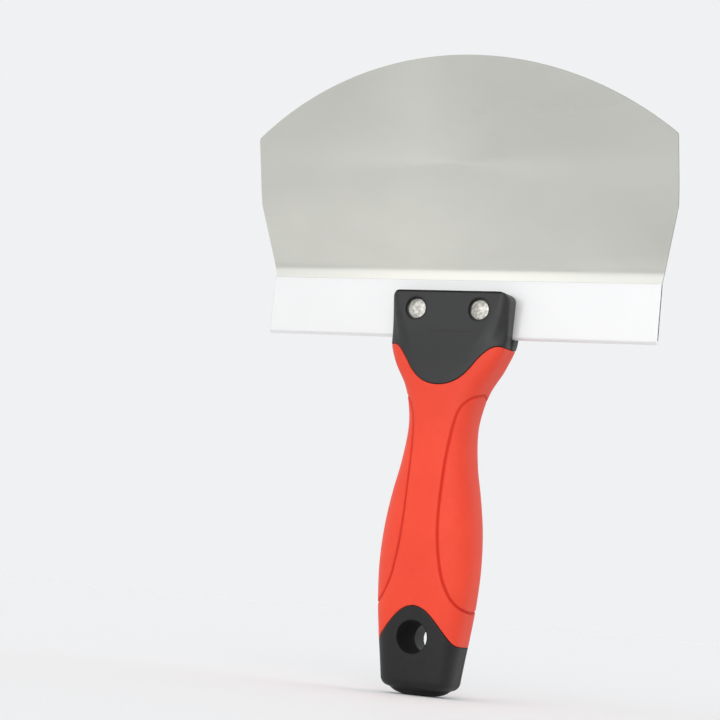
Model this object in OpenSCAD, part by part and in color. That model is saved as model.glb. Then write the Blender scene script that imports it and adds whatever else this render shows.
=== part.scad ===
// Flexible putty knife with a crowned spring-steel blade, a folded aluminium
// back and a two-shell handle with a soft grip.
// Millimetres. +Z runs up the handle towards the blade, +X across the blade,
// -Y is the front face. The origin is the middle of the small flat under the butt's shallow dome.

/* [Blade] */
// Width of the blade across its two corners
blade_w = 170; // [160:1:178]
// Height of the blade from the bend to the crown of its edge
blade_rise = 79; // [72:0.5:84]
// Radius of the crowned working edge
edge_r = 136; // [125:1:160]
// Thickness of the blade steel
blade_t = 0.5; // [0.4:0.1:0.6]
// Angle by which the blade leans forward of the handle
lean = 15; // [8:1:18]
// Radius of the bend where the blade leaves its holder
bend_r = 17; // [12:1:22]
// Radius of the blade's two corners
corner_r = 1.8; // [1:0.2:4]

/* [Blade holder] */
// Width of the folded holder
holder_w = 157.5; // [150:0.5:160]
// Height of the holder
holder_h = 21.9; // [20:0.1:24]
// Thickness of each leaf of the holder
leaf_t = 1; // [0.8:0.1:1.2]

/* [Handle] */
// Width of the yoke that clasps the holder
yoke_w = 47.6; // [46:0.2:50]
// Width of the neck
neck_w = 25.2; // [24:0.2:28]
// Width of the belly
belly_w = 38; // [36:0.2:40]
// Width of the butt at its foot
butt_w = 27.6; // [26:0.2:29]
// Thickness of the soft grip over the shells
grip_t = 2; // [1.5:0.1:2.4]

/* [Rivets] */
// Distance between the two rivets
rivet_gap = 25.5; // [24:0.5:28]
// Diameter of a rivet head
head_d = 7.3; // [6.5:0.1:8]
// Diameter of a rivet shank
shank_d = 4; // [3.5:0.1:4.4]
// Diameter of the pocket around a rivet head
recess_d = 8.2; // [8:0.1:9]

/* [Hanging hole] */
// Diameter of the hanging hole
hang_d = 12; // [9:0.5:12]
// Height of the hanging hole above the foot
hang_z = 18.2; // [17:0.2:19]

/* [Foot] */
// Depth of the shallow dome under the butt, on whose flat middle the tool stands
pad_h = 2.6; // [1.5:0.1:3]

/* [Hidden] */

handle_h = 145.5;                  // top of the yoke
lip_z = 150.8;                     // top edge of the holder
holder_z = lip_z - holder_h;       // bottom of the holder's fold
holder_t = 2*leaf_t + blade_t;     // thickness of the closed holder
split_y = 2.6;                     // joint plane of the two shells and front face of the holder
blade_y = split_y + leaf_t + blade_t/2;
root_z = holder_z + 1.7;           // bottom of the blade inside the fold
rivet_z = 138.6;
recess_f = -4.9;                   // floor of the front rivet pockets
recess_b = 7.6;                    // floor of the rear rivet pockets
foot_r = 3;                        // rounding round the bottom of the butt

// Heights below are counted from the bottom of the butt, and the whole tool is raised by the dome's depth at the end.
// Stations up the handle: height, half width, front, rear, corner size along x, corner size along y
STN = [
    [  0,   butt_w/2,          -9.6,  9.6,  8.0,  6.5],
    [ 10,   butt_w/2 + 1.3,   -10.5,  9.9,  9.0,  7.0],
    [ 20,   belly_w/2 - 2.3,  -11.2, 10.2, 11.0,  7.5],
    [ 32,   belly_w/2 - 0.8,  -12.2, 11.0, 13.5,  8.5],
    [ 45,   belly_w/2,        -13.1, 11.8, 15.5, 10.0],
    [ 58,   belly_w/2 - 0.8,  -13.4, 12.4, 15.0, 10.5],
    [ 70,   belly_w/2 - 2.7,  -12.9, 12.0, 13.5, 10.0],
    [ 82,   neck_w/2 + 1.2,   -12.0, 11.5, 11.5,  9.5],
    [ 94,   neck_w/2,         -10.9, 11.3, 10.5,  9.0],
    [102,   neck_w/2 + 0.7,   -10.2, 11.4, 10.0,  8.0],
    [110,   neck_w/2 + 3.2,    -9.4, 11.4, 10.0,  7.5],
    [118,   yoke_w/2 - 3.4,    -8.6, 11.2,  9.0,  7.0],
    [126,   yoke_w/2 - 0.4,    -7.4, 10.6,  6.5,  6.5],
    [132,   yoke_w/2,          -6.6, 10.0,  4.4,  5.7],
    [138,   yoke_w/2,          -6.4, 10.0,  3.0,  5.0],
    [145.5, yoke_w/2 - 0.2,    -6.4, 10.0,  1.8,  4.0]
];
LAST = len(STN) - 1;

// Smooth curve of column c through the stations
function seg(z, i = 0) = (i >= LAST - 1 || z < STN[i + 1][0]) ? i : seg(z, i + 1);
function slope(c, i) =
    i == 0 ? (STN[1][c] - STN[0][c])/(STN[1][0] - STN[0][0]) :
    i == LAST ? (STN[LAST][c] - STN[LAST - 1][c])/(STN[LAST][0] - STN[LAST - 1][0]) :
    (STN[i + 1][c] - STN[i - 1][c])/(STN[i + 1][0] - STN[i - 1][0]);
function at(c, z) =
    let(i = seg(z), h = STN[i + 1][0] - STN[i][0], u = (z - STN[i][0])/h)
    (2*u*u*u - 3*u*u + 1)*STN[i][c] + (u*u*u - 2*u*u + u)*h*slope(c, i)
    + (3*u*u - 2*u*u*u)*STN[i + 1][c] + (u*u*u - u*u)*h*slope(c, i + 1);

// How far the butt's rounded bottom and the yoke's top corners draw a ring in
function foot_in(z) =
    z < 0 ? foot_r :
    z < foot_r ? foot_r - sqrt(foot_r*foot_r - (foot_r - z)*(foot_r - z)) : 0;
function top_in(z, r) = z > handle_h - r ? r - sqrt(max(0, r*r - (z - handle_h + r)*(z - handle_h + r))) : 0;

// Size of the dome's rings, as a share of the butt's bottom
function dome(z) = z < 0 ? lookup(z/pad_h, [[-1, 0.46], [-0.85, 0.66], [-0.6, 0.83], [-0.3, 0.94], [0, 1]]) : 1;

// One ring of the handle at height z, drawn in by g
Q = 8;
function ring(z, g) =
    let(f = foot_in(z),
        a = (at(1, z) - g - f - top_in(z, 3.5))*dome(z),
        y0 = at(2, z) + g + f + top_in(z, 0.8),
        y1 = at(3, z) - g - f - top_in(z, 0.8),
        b = (y1 - y0)/2*dome(z),
        yc = (y1 + y0)/2,
        rx = z < 0 ? (0.463 - 0.45*z/pad_h)*a : max(0.6, min(at(4, z) - g - f, a - 1)),
        ry = z < 0 ? (0.53 - 0.4*z/pad_h)*b : max(0.6, min(at(5, z) - g - f, b - 1)))
    [for (k = [0:3]) for (i = [0:Q - 1])
        let(d = 90*(k%2 == 0 ? i : Q - 1 - i)/(Q - 1),
            sx = (k == 0 || k == 3) ? 1 : -1,
            sy = k < 2 ? 1 : -1)
        [sx*(a - rx + rx*cos(d)), yc + sy*(b - ry + ry*sin(d)), z]];

// Closed body swept through the rings at the heights in zs, drawn in by g
module body_of(zs, g) {
    m = 4*Q;
    n = len(zs);
    polyhedron(
        points = [for (z = zs) each ring(z, g)],
        faces = concat(
            [[for (j = [0:m - 1]) j]],
            [for (i = [0:n - 2]) for (j = [0:m - 1]) [i*m + j, (i + 1)*m + j, (i + 1)*m + (j + 1)%m]],
            [for (i = [0:n - 2]) for (j = [0:m - 1]) [i*m + j, (i + 1)*m + (j + 1)%m, i*m + (j + 1)%m]],
            [[for (j = [m - 1:-1:0]) (n - 1)*m + j]]));
}

OUTER_Z = concat([-pad_h, -0.85*pad_h, -0.6*pad_h, -0.3*pad_h, 0, 0.3, 1, 2, 3], [for (z = [6:5:121]) z], [125, 129, 134, 139, 142, 143.5, 144.7, 145.2, 145.5]);
INNER_Z = [for (z = [9:5:129]) z];
module handle_outer() body_of(OUTER_Z, 0);
module handle_inner() body_of(INNER_Z, grip_t);

// Extrudes a front-view outline (x, z) right through the handle
module through_y() rotate([90, 0, 0]) linear_extrude(height = 60, center = true) children();

// Front-view outline of the bare butt: a rounded peak on sloping shoulders
module butt_outline() {
    translate([0, 21.5]) circle(r = 8, $fn = 64);
    polygon([[-15.4, 16], [-6.04, 26.75], [6.04, 26.75], [15.4, 16]]);
    translate([-40, -5]) square([80, 21]);
}

// Front-view outline of the soft grip: a U-shaped hollow under the yoke, with a round ear each side
module grip_outline() {
    difference() {
        union() {
            polygon([[-40, 0], [40, 0], [40, 123.4], [21.4, 123.4], [21.4, 121], [17.42, 123.49], [8, 112.9],
                     [-8, 112.9], [-17.42, 123.49], [-21.4, 121], [-21.4, 123.4], [-40, 123.4]]);
            for (s = [-1, 1]) translate([s*21.4, 120.3]) circle(r = 5.1, $fn = 64);
        }
        translate([0, 124.3]) circle(r = 14, $fn = 96);
        polygon([[-10.93, 115.55], [10.93, 115.55], [17.42, 123.49], [17.42, 135], [-17.42, 135], [-17.42, 123.49]]);
        butt_outline();
    }
}

// Black core of the handle before it is parted: slim under the grip, full size at the yoke and the butt
module core_body() {
    handle_inner();
    difference() {
        handle_outer();
        through_y() grip_outline();
    }
}

// Bore along Y from y0 to y1
module bore_y(x, z, d, y0, y1)
    translate([x, y0, z]) rotate([-90, 0, 0]) cylinder(d = d, h = y1 - y0, $fn = 48);

module both_rivets() for (s = [-1, 1]) translate([s*rivet_gap/2, 0, rivet_z]) children();

// Cored-out pockets inside the shells: [bottom, top, half width]
POCKETS = [[38, 62, 11.5], [68, 92, 7.5], [98, 108, 6.5]];
PEGS = [[0, 33.5], [0, 65], [0, 95], [0, 114]];

// Front shell: front jaw of the yoke, front of the grip's core and front of the butt
module core_front() color([0.2, 0.2, 0.2]) {
    difference() {
        intersection() {
            core_body();
            translate([-40, split_y - 40, -5]) cube([80, 40, 160]);
        }
        bore_y(0, hang_z, hang_d, -20, 20);
        both_rivets() {
            bore_y(0, 0, shank_d + 0.2, -20, 20);
            bore_y(0, 0, recess_d, -20, recess_f);
        }
        for (p = POCKETS)
            translate([-p[2], -7, p[0]]) cube([2*p[2], split_y + 7 + 1, p[1] - p[0]]);
    }
    for (p = PEGS) bore_y(p[0], p[1], 4, split_y - 2, split_y + 3);
}

// Rear shell: rear jaw with the seat of the holder, rear of the core and rear of the butt
module core_rear() color([0.17, 0.17, 0.17])
    difference() {
        intersection() {
            core_body();
            translate([-40, split_y, -5]) cube([80, 40, 160]);
        }
        translate([-40, split_y - 1, holder_z - 0.1]) cube([80, holder_t + 1, 40]);
        bore_y(0, hang_z, hang_d, -20, 20);
        both_rivets() {
            bore_y(0, 0, shank_d + 0.2, -20, 20);
            bore_y(0, 0, recess_d, recess_b, 20);
        }
        for (p = POCKETS)
            translate([-p[2], split_y - 1, p[0]]) cube([2*p[2], 5.5, p[1] - p[0]]);
        for (p = PEGS) bore_y(p[0], p[1], 4.2, split_y - 1, split_y + 3.3);
    }

// Soft grip: a sleeve over both shells, flush with the yoke and the butt
module grip() color([0.93, 0.27, 0.2])
    difference() {
        intersection() {
            handle_outer();
            through_y() grip_outline();
        }
        handle_inner();
    }

// Cross-section of the blade from its root in the fold, round the bend, to past its edge (y, z)
module blade_section() {
    translate([blade_y - blade_t/2, root_z]) square([blade_t, lip_z - root_z]);
    translate([blade_y - bend_r, lip_z]) {
        intersection() {
            difference() {
                circle(r = bend_r + blade_t/2, $fn = 180);
                circle(r = bend_r - blade_t/2, $fn = 180);
            }
            polygon([[0, 0], [2*bend_r, 0], [2*bend_r*cos(lean), 2*bend_r*sin(lean)]]);
        }
        rotate(lean) translate([bend_r - blade_t/2, 0]) square([blade_t, blade_rise + 5]);
    }
}

// Outline of the blade in its own leaning plane: x across, y up from the top of the bend
module blade_outline() {
    cy = blade_rise - edge_r;
    rx = blade_w/2 - corner_r;
    ry = cy + sqrt((edge_r - corner_r)*(edge_r - corner_r) - rx*rx);
    u = [rx, ry - cy]/(edge_r - corner_r);
    difference() {
        intersection() {
            polygon([[-holder_w/2 + 0.3, -60], [holder_w/2 - 0.3, -60], [holder_w/2 - 0.3, -4.4], [holder_w/2 + 0.7, 0],
                     [blade_w/2 - 0.2, 23.4], [blade_w/2, 30], [blade_w/2, 100], [-blade_w/2, 100], [-blade_w/2, 30],
                     [-blade_w/2 + 0.2, 23.4], [-holder_w/2 - 0.7, 0], [-holder_w/2 + 0.3, -4.4]]);
            union() {
                translate([0, cy]) circle(r = edge_r, $fn = 360);
                translate([-100, -70]) square([200, 75]);
            }
        }
        for (s = [-1, 1])
            difference() {
                polygon([[s*rx, ry], [s*(rx + 4), ry], [s*(rx + 4), ry + 6], [s*(rx + 6*u[0]), ry + 6*u[1]]]);
                translate([s*rx, ry]) circle(r = corner_r, $fn = 48);
            }
    }
}

// Spring-steel blade: root with rivet holes, bend, and leaning crowned blade
module blade() color([0.74, 0.75, 0.72])
    difference() {
        intersection() {
            rotate([90, 0, 90]) linear_extrude(height = 200, center = true) blade_section();
            translate([0, blade_y - bend_r*(1 - cos(lean)), lip_z + bend_r*sin(lean)])
                rotate([90 + lean, 0, 0]) linear_extrude(height = 80, center = true) blade_outline();
        }
        both_rivets() bore_y(0, 0, shank_d + 0.2, -10, 20);
    }

// Folded aluminium holder: two leaves closed by a round fold along the bottom
module blade_holder() color([0.93, 0.93, 0.93])
    difference() {
        rotate([90, 0, 90]) linear_extrude(height = holder_w, center = true)
            difference() {
                union() {
                    translate([split_y + holder_t/2, holder_z + holder_t/2]) circle(d = holder_t, $fn = 48);
                    translate([split_y, holder_z + holder_t/2]) square([holder_t, holder_h - holder_t/2]);
                }
                translate([split_y + leaf_t, root_z]) square([blade_t, holder_h]);
            }
        both_rivets() bore_y(0, 0, shank_d + 0.2, -10, 20);
    }

// Rivet: low-domed head at the front, shank, and formed head at the rear
module rivet_at(x) {
    r = head_d/2;
    dome = 0.6;
    cap = (r*r + dome*dome)/(2*dome);
    color([0.85, 0.83, 0.78])
        translate([x, 0, rivet_z]) rotate([-90, 0, 0]) rotate_extrude($fn = 64) {
            translate([0, recess_f - 0.5]) square([r, 0.5]);
            intersection() {
                translate([0, recess_f - 0.5 - dome + cap]) circle(r = cap, $fn = 180);
                translate([0, recess_f - 0.5 - dome - 1]) square([r, dome + 1]);
            }
            translate([0, recess_f - 0.1]) square([shank_d/2, recess_b - recess_f + 0.2]);
            translate([0, recess_b]) square([r, 0.5]);
            intersection() {
                translate([0, recess_b + 0.5 + dome - cap]) circle(r = cap, $fn = 180);
                translate([0, recess_b + 0.5]) square([r, dome + 1]);
            }
        }
}
module rivet_left() rivet_at(-rivet_gap/2);
module rivet_right() rivet_at(rivet_gap/2);

translate([0, 0, pad_h]) {
    blade();
    blade_holder();
    core_front();
    core_rear();
    grip();
    rivet_left();
    rivet_right();
}
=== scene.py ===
import math

import bmesh
import bpy
import numpy as np
from mathutils import Matrix, Vector


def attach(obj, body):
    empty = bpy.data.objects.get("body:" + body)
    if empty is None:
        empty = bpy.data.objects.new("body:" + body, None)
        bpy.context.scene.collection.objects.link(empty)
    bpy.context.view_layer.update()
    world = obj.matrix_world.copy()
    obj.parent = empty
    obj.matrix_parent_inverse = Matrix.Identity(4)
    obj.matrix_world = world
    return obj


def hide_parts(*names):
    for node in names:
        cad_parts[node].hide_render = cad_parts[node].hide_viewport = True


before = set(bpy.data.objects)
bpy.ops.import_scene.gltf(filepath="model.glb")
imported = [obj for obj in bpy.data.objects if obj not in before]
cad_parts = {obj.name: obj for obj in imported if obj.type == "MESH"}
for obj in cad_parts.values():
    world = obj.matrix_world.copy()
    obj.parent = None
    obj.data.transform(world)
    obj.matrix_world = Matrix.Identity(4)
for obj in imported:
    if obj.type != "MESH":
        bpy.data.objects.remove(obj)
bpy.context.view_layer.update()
scene = bpy.context.scene
MM = 0.001

# ------------------------------------------------------------------ the handle's form (mm)
YOKE, NECK, BELLY, BUTT = 47.6, 25.2, 38.0, 27.6
STN = np.array([
    [0, BUTT / 2, -9.6, 9.6, 8.0, 6.5],
    [10, BUTT / 2 + 1.3, -10.5, 9.9, 9.0, 7.0],
    [20, BELLY / 2 - 2.3, -11.2, 10.2, 11.0, 7.5],
    [32, BELLY / 2 - 0.8, -12.2, 11.0, 13.5, 8.5],
    [45, BELLY / 2, -13.1, 11.8, 15.5, 10.0],
    [58, BELLY / 2 - 0.8, -13.4, 12.4, 15.0, 10.5],
    [70, BELLY / 2 - 2.7, -12.9, 12.0, 13.5, 10.0],
    [82, NECK / 2 + 1.2, -12.0, 11.5, 11.5, 9.5],
    [94, NECK / 2, -10.9, 11.3, 10.5, 9.0],
    [102, NECK / 2 + 0.7, -10.2, 11.4, 10.0, 8.0],
    [110, NECK / 2 + 3.2, -9.4, 11.4, 10.0, 7.5],
    [118, YOKE / 2 - 3.4, -8.6, 11.2, 9.0, 7.0],
    [126, YOKE / 2 - 0.4, -7.4, 10.6, 6.5, 6.5],
    [132, YOKE / 2, -6.6, 10.0, 4.4, 5.7],
    [138, YOKE / 2, -6.4, 10.0, 3.0, 5.0],
    [145.5, YOKE / 2 - 0.2, -6.4, 10.0, 1.8, 4.0],
])
TOP = 145.5
SPLIT = 2.6
HOLD_Y0, HOLD_Y1, HOLD_Z = 2.6, 5.1, 128.9
LIP = 150.8
GRIP_T = 2.0
RIV_X, RIV_Z = 12.75, 138.6
PAD_H = 2.6                     # the dome under the butt, which raises everything at the end


def hermite(z, zs, vs):
    z = np.clip(z, zs[0], zs[-1])
    m = np.empty(len(zs))
    m[1:-1] = (vs[2:] - vs[:-2]) / (zs[2:] - zs[:-2])
    m[0] = (vs[1] - vs[0]) / (zs[1] - zs[0])
    m[-1] = (vs[-1] - vs[-2]) / (zs[-1] - zs[-2])
    i = np.clip(np.searchsorted(zs, z, side="right") - 1, 0, len(zs) - 2)
    h = zs[i + 1] - zs[i]
    u = (z - zs[i]) / h
    return ((2 * u**3 - 3 * u**2 + 1) * vs[i] + (u**3 - 2 * u**2 + u) * h * m[i]
            + (3 * u**2 - 2 * u**3) * vs[i + 1] + (u**3 - u**2) * h * m[i + 1])


# dense tables of each column, read by linear interpolation
ZT = np.linspace(-3, TOP + 3, 3001)
COL = [hermite(ZT, STN[:, 0], STN[:, c]) for c in range(1, 6)]
_k = 0.5 * (COL[3] / COL[0] + COL[4] / ((COL[2] - COL[1]) / 2))
EXPO = -math.log(2) / np.log(1 - 0.2929 * np.clip(_k, 0.3, 0.9))


# the yoke: half width of the front shell, extra width of the rear one, and the bevel of its front corners
YZ = np.array([116, 119, 122, 125.3, 129, 133, 137, 140.5, 143.7, 150])
FRONT_A = [20.0, 20.9, 22.35, 23.2, 23.4, 23.5, 23.6, 23.75, 23.8, 23.8]
REAR_ADD = [0, 0.1, 0.3, 0.4, 0.4, 0.2, 0, 0, 0, 0]
RIDGE_X = [11.5, 12.6, 13.9, 15.4, 17.2, 19.0, 20.6, 21.6, 22.3, 22.3]
BEVEL_Y = [5.4, 5.2, 4.9, 4.6, 4.3, 3.8, 3.3, 3.1, 3.0, 3.0]


def profile(z):
    return [np.interp(z, ZT, c).astype(np.float32) for c in COL + [EXPO]]


def smooth01(t):
    t = np.clip(t, 0, 1)
    return t * t * (3 - 2 * t)


# ------------------------------------------------------------------ distance field tools
def cut_round(a, b, r):
    """Intersection of two solids, its edge rounded by r."""
    return np.minimum(-r, np.maximum(a, b)) + np.hypot(np.maximum(a + r, 0), np.maximum(b + r, 0))


def join_round(a, b, r):
    return np.maximum(r, np.minimum(a, b)) - np.hypot(np.maximum(r - a, 0), np.maximum(r - b, 0))


def box_d(x, y, z, lo, hi):
    qx = np.abs(x - (lo[0] + hi[0]) / 2) - (hi[0] - lo[0]) / 2
    qy = np.abs(y - (lo[1] + hi[1]) / 2) - (hi[1] - lo[1]) / 2
    qz = np.abs(z - (lo[2] + hi[2]) / 2) - (hi[2] - lo[2]) / 2
    return np.maximum(np.maximum(qx, qy), qz)


def section_d(x, y, z):
    """Distance, near enough, to the handle's side wall at each height."""
    a, y0, y1, rx, ry, n = profile(z)
    b = (y1 - y0) / 2
    X = np.abs(x)
    Y = np.abs(y - (y1 + y0) / 2)
    e = np.float32(1e-4)
    # superellipse, for the hand-shaped stretch
    u = np.maximum(X / a, e)
    v = np.maximum(Y / b, e)
    s = u**n + v**n
    f = s ** (1 / n)
    g = np.hypot(u ** (n - 1) / a, v ** (n - 1) / b) * f ** (1 - n)
    d1 = (f - 1) / np.maximum(g, 0.02)
    # flat faces for the yoke: bevelled corners in front, elliptical ones behind
    af, rx_, bv = (np.interp(z, YZ, c).astype(np.float32) for c in (FRONT_A, RIDGE_X, BEVEL_Y))
    ar = a + np.interp(z, YZ, REAR_ADD).astype(np.float32)
    bw = af - rx_
    bevel = ((X - rx_) * bv - (y - y0) * bw) / np.hypot(bw, bv)
    crease = 0.09 * np.exp(-((z - 129.8) / 0.4) ** 2 - ((x - 3.5) / 7.5) ** 4)
    front = cut_round(cut_round(y0 - crease - y, bevel, 1.7), X - af, 0.8)
    qx = X - (ar - rx)
    qy = y - (y1 - 0.8 * ry)
    px = np.maximum(qx, e) / rx
    py = np.maximum(qy, e) / (0.8 * ry)
    ff = np.hypot(px, py)
    corner = (ff - 1) / (np.hypot(px / rx, py / (0.8 * ry)) / ff)
    back = np.where((qx > 0) & (qy > 0), corner, np.maximum(X - ar, y - y1))
    d2 = np.where(y < SPLIT, front, np.maximum(back, y0 - y))
    w = smooth01((z - 119) / 11)
    return d1 * (1 - w) + d2 * w


PAD_Z = np.array([-2.75, -2.6, -2.4, -2.1, -1.6, -0.9, 0.0, 0.6])
PAD_S = np.array([0.40, 0.47, 0.58, 0.70, 0.83, 0.94, 1.0, 1.01])
PAD_A, PAD_B = 11.5 * PAD_S, 7.7 * PAD_S


def outer_d(x, y, z):
    side = section_d(x, y, z) + np.float32(0.045)
    d = cut_round(side, -z + 0 * x, 3.0)
    low = z < 2
    if low.any():
        lx, ly, lz = x[low], y[low], z[low]
        A = np.interp(lz, PAD_Z, PAD_A).astype(np.float32)
        B = np.interp(lz, PAD_Z, PAD_B).astype(np.float32)
        k = np.sqrt((lx / A) ** 2 + (ly / B) ** 2) + 1e-4
        pad = (k - 1) * k / np.maximum(np.hypot(lx / A**2, ly / B**2), 0.02)
        pad = cut_round(pad, -(lz + PAD_H), 0.35)
        pad = np.maximum(pad, lz - 1)
        d[low] = join_round(d[low], pad, 1.1)
    qx = np.abs(x) - (YOKE / 2 - 0.1 - 3.6)
    qz = z - (TOP - 3.6)
    cap = np.where((qx > 0) & (qz > 0), np.hypot(np.maximum(qx, 0), np.maximum(qz, 0)), np.maximum(qz, qx)) - 3.6
    cap = np.where(z > 130, cap, -20)
    return cut_round(d, cap, 0.7)


# where red meets black, as heights over |x|
CX = np.array([0, 2, 4, 6, 8, 10, 12, 13.5, 14.6, 15.5, 16.6, 18, 30.0])
CZ = np.array([29.55, 29.2, 28.4, 26.95, 25.0, 22.7, 20.2, 18.3, 16.9, 16.15, 16.0, 16.1, 16.3])
UX = np.array([0, 2.7, 4.8, 7, 9.1, 12.1, 14.2, 16.2, 18.0, 19.8, 21.4, 23.0, 24.5, 30.0])
UZ = np.array([110.3, 110.55, 111.1, 112.1, 113.6, 116.8, 119.8, 122.2, 124.0, 125.1, 125.4, 125.15, 124.8, 124.5])
XT = np.linspace(0, 30, 601)


def dense(xs, zs):
    m = np.gradient(zs, xs)
    m[0] = 0
    i = np.clip(np.searchsorted(xs, XT, side="right") - 1, 0, len(xs) - 2)
    h = xs[i + 1] - xs[i]
    u = (XT - xs[i]) / h
    return ((2 * u**3 - 3 * u**2 + 1) * zs[i] + (u**3 - 2 * u**2 + u) * h * m[i]
            + (3 * u**2 - 2 * u**3) * zs[i + 1] + (u**3 - u**2) * h * m[i + 1])


CAPZ, YOKZ = dense(CX, CZ), dense(UX, UZ)
CAPS, YOKS = np.gradient(CAPZ, XT), np.gradient(YOKZ, XT)


def red_d(x, z):
    """How far inside the red a front-view point is; negative in the black."""
    X = np.abs(x)
    lo = (z - np.interp(X, XT, CAPZ)) / np.sqrt(1 + np.interp(X, XT, CAPS) ** 2)
    hi = (np.interp(X, XT, YOKZ) - z) / np.sqrt(1 + np.interp(X, XT, YOKS) ** 2)
    return np.minimum(lo, hi)


# the grooves: one loop round each side of the grip, front and back alike
GROOVE = np.array([
    (15.4, 107.9), (14.4, 107.0), (12.7, 105.5), (10.6, 103.1), (9.2, 100.2), (8.2, 95.5), (7.7, 91.5), (7.3, 86.5),
    (7.0, 80.5), (6.95, 75.5), (6.9, 69.0), (6.95, 63.0), (7.3, 56.5), (7.9, 50.8), (8.9, 45.2), (10.2, 39.8),
    (12.1, 35.4), (14.0, 32.3), (16.0, 30.2), (17.6, 28.9), (18.6, 28.4)])


def groove_loop():
    t = np.r_[0, np.cumsum(np.hypot(*np.diff(GROOVE, axis=0).T))]
    s = np.linspace(0, t[-1], 72)
    gx, gz = hermite(s, t, GROOVE[:, 0]), hermite(s, t, GROOVE[:, 1])
    a, y0, y1, rx, ry, n = profile(gz)
    b, yc = (y1 - y0) / 2, (y1 + y0) / 2
    r = np.clip(gx / a, 0, 1)
    dy = b * (1 - r**n) ** (1 / n)
    gx = np.minimum(gx, a)
    front = np.c_[gx, yc - dy, gz]
    back = np.c_[gx, yc + dy, gz][::-1]
    loop = np.r_[front, back]
    # even out the spacing round the sides, where the path turns
    d = np.r_[0, np.cumsum(np.linalg.norm(np.diff(np.r_[loop, loop[:1]], axis=0), axis=1))]
    q = np.linspace(0, d[-1], 300, endpoint=False)
    closed = np.r_[loop, loop[:1]]
    return np.c_[[np.interp(q, d, closed[:, k]) for k in range(3)]].T


LOOP = groove_loop().astype(np.float32)


def groove_d(x, y, z):
    """Distance to the groove's path, out to 2.5 mm."""
    X = np.abs(x)
    out = np.full(x.shape, 9.0, np.float32)
    order = np.argsort(z, kind="stable")
    zs = z[order]
    P = np.c_[X, y, z][order].astype(np.float32)
    best = np.full(len(P), 9.0, np.float32)
    n = len(LOOP)
    for i in range(n):
        p, q = LOOP[i], LOOP[(i + 1) % n]
        i0 = np.searchsorted(zs, min(p[2], q[2]) - 2.5)
        i1 = np.searchsorted(zs, max(p[2], q[2]) + 2.5)
        if i1 <= i0:
            continue
        S = P[i0:i1]
        near = np.abs(S[:, 0] - (p[0] + q[0]) / 2) < 3.5
        idx = np.nonzero(near)[0]
        if not len(idx):
            continue
        S = S[idx]
        e = q - p
        u = np.clip((S - p) @ e / max(float(e @ e), 1e-9), 0, 1)
        d = np.linalg.norm(S - p - u[:, None] * e, axis=1)
        best[i0 + idx] = np.minimum(best[i0 + idx], d)
    out[order] = best
    return out


def grip_f(x, y, z):
    d0 = outer_d(x, y, z)
    d = d0.copy()
    band = (np.abs(d0) < 2.6) & (z > 24) & (z < 112)
    bx = np.broadcast_to(x, d0.shape)[band]
    by = np.broadcast_to(y, d0.shape)[band]
    bz = np.broadcast_to(z, d0.shape)[band]
    gd = groove_d(bx, by, bz)
    d[band] = d0[band] + 0.85 * np.exp(-(gd / 0.52) ** 4)
    e = cut_round(d, -red_d(x, z) + 0.07, 0.32)
    return np.maximum(e, -(d0 + GRIP_T))


def hole_r(y):
    return np.where(y < SPLIT, 5.45 + 0.036 * (SPLIT - y), 5.4 - 0.075 * (y - SPLIT))


def core_f(x, y, z):
    d0 = outer_d(x, y, z)
    skin = cut_round(d0, red_d(x, z) + 0.07, 0.28)
    inner = np.maximum(d0 + GRIP_T + 0.04, np.maximum(9 - z, z - 129))
    d = np.minimum(skin, inner)
    hole = np.hypot(x, z - 18.2) - hole_r(y)
    return cut_round(d, -hole, np.where(y < SPLIT, 0.38, 0.12))


def rivet_pockets(x, y, z, d, side):
    for s in (-1, 1):
        r = np.hypot(x - s * RIV_X, z - RIV_Z)
        floor = (y + 4.9) if side < 0 else (7.6 - y)
        pocket = np.maximum(r - 4.2, floor)
        d = cut_round(d, -pocket, 0.5)
        d = np.maximum(d, -(r - 2.05))
    return d


POCKETS = [(38, 62, 11.5), (68, 92, 7.5), (98, 108, 6.5)]
PEGS = [33.5, 65, 95, 114]


def front_f(x, y, z):
    d = core_f(x, y, z)
    d = rivet_pockets(x, y, z, d, -1)
    d = cut_round(d, y - (SPLIT - 0.03) + 0 * x, 0.28)
    for lo, hi, w in POCKETS:
        d = np.maximum(d, -box_d(x, y, z, (-w, -7, lo), (w, 9, hi)))
    for pz in PEGS:
        d = np.minimum(d, np.maximum(np.hypot(x, z - pz) - 2.0, np.abs(y - 2.6) - 3.0))
    return d


def rear_f(x, y, z):
    d = core_f(x, y, z)
    d = rivet_pockets(x, y, z, d, 1)
    d = cut_round(d, (SPLIT + 0.03) - y + 0 * x, 0.28)
    seat = np.maximum(y - HOLD_Y1 - 0.02, HOLD_Z - 0.1 - z)
    d = cut_round(d, -seat, 0.3)
    for lo, hi, w in POCKETS:
        d = np.maximum(d, -box_d(x, y, z, (-w, -3, lo), (w, 8.1, hi)))
    for pz in PEGS:
        d = np.maximum(d, -np.maximum(np.hypot(x, z - pz) - 2.1, y - 5.9))
    return d


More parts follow.
